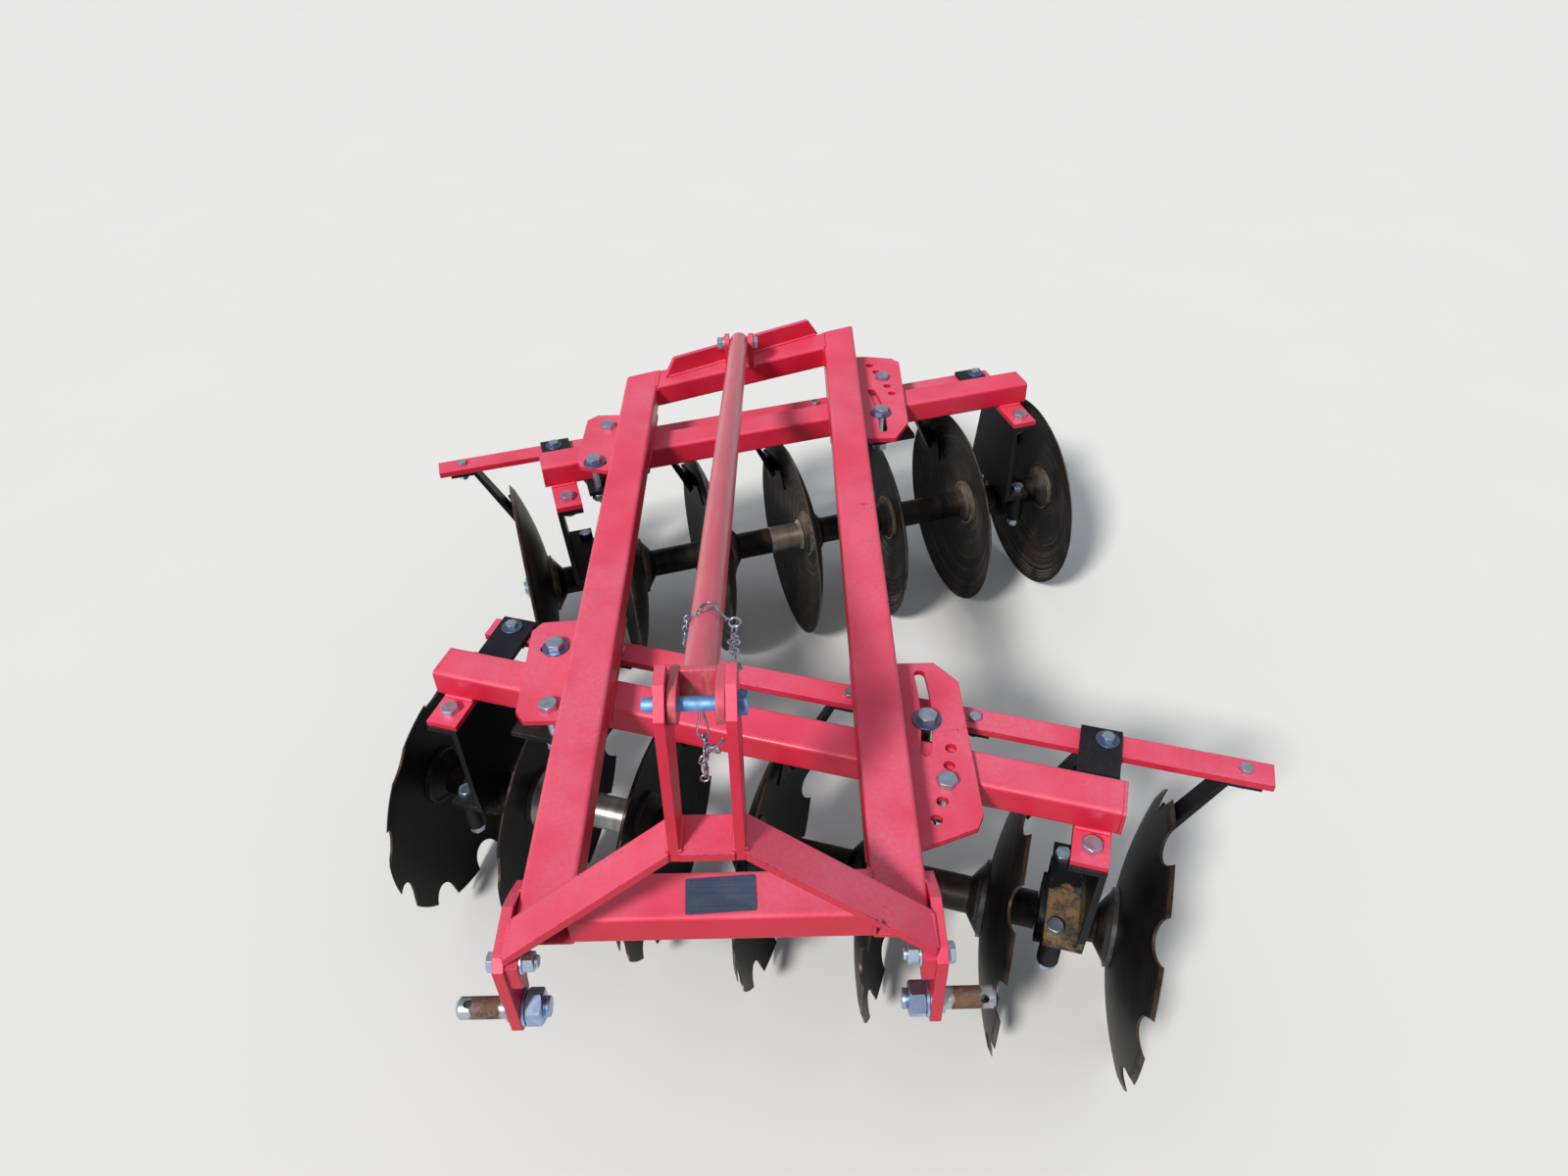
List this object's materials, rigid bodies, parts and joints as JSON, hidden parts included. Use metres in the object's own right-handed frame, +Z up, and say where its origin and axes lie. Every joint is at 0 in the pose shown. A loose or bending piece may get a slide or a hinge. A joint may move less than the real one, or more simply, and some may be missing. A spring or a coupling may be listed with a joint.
{
  "type": "disc harrow",
  "caption": "Three-point mounted offset disc harrow with a notched front gang, a plain rear gang, scrapers and a braced mast on a red tube frame.",
  "frame": {"origin": "on the ground under the middle of the whole implement's bounding box", "axes": "+X to the implement's right seen from the tractor side, +Y to its rear, away from the hitch, +Z up"},
  "size_m": [1.4646, 1.7013, 0.97],
  "materials": {
    "red_paint": "sun-faded crimson enamel with dust and small chips",
    "brace_paint": "browner red enamel, rubbed glossy along its top",
    "black_paint": "black enamel with dried soil on upper faces",
    "disc_steel": "dark blackened steel, bare and soil-rubbed towards the rim",
    "zinc": "bright zinc plate, rust-brown where the hitch rubs it"
  },
  "bodies": {
    "frame": {"side_rail_left": "red_paint", "side_rail_right": "red_paint", "front_crossbeam": "red_paint", "rear_crossbeam": "red_paint", "rear_upstand": "red_paint", "hitch_bracket_left": "red_paint", "hitch_bracket_right": "red_paint", "lower_hitch_pin_left": "zinc", "lower_hitch_pin_right": "zinc", "hitch_strap_left": "red_paint", "hitch_strap_right": "red_paint", "mast_base_plate": "red_paint", "mast_left": "red_paint", "mast_right": "red_paint", "top_link_bolt": "zinc", "brace_fork": "brace_paint", "brace_tube": "brace_paint", "brace_clevis": "red_paint", "brace_rear_bolt": "zinc", "angle_plate_front_left": "red_paint", "angle_plate_front_right": "red_paint", "angle_plate_rear_left": "red_paint", "angle_plate_rear_right": "red_paint", "clamp_plates_front": "black_paint", "clamp_plates_rear": "black_paint", "front_gang_beam": "red_paint", "rear_gang_beam": "red_paint", "beam_end_caps": "red_paint", "front_hanger_tabs": "red_paint", "rear_hanger_tabs": "red_paint", "hanger_front_left": "black_paint", "hanger_front_right": "black_paint", "hanger_rear_left": "black_paint", "hanger_rear_right": "black_paint", "bearing_front_left": "black_paint", "bearing_front_right": "black_paint", "bearing_rear_left": "black_paint", "bearing_rear_right": "black_paint", "scraper_brackets": "black_paint", "front_scraper_bar": "red_paint", "rear_scraper_bar": "red_paint", "front_scrapers": "black_paint", "rear_scrapers": "black_paint"},
    "front_gang": {"front_axle": "disc_steel", "front_discs": "disc_steel", "front_spools": "black_paint"},
    "rear_gang": {"rear_axle": "disc_steel", "rear_discs": "disc_steel", "rear_spools": "black_paint"}
  },
  "joints": [
    {"name": "front_gang_turn", "type": "hinge", "parent": "frame", "child": "front_gang", "pos_m": [-0.03388, -0.41376, 0.23], "axis": [0.9568, -0.2907, 0], "continuous": true},
    {"name": "rear_gang_turn", "type": "hinge", "parent": "frame", "child": "rear_gang", "pos_m": [0.04248, 0.46988, 0.23], "axis": [0.9617, 0.274, 0], "continuous": true}
  ]
}
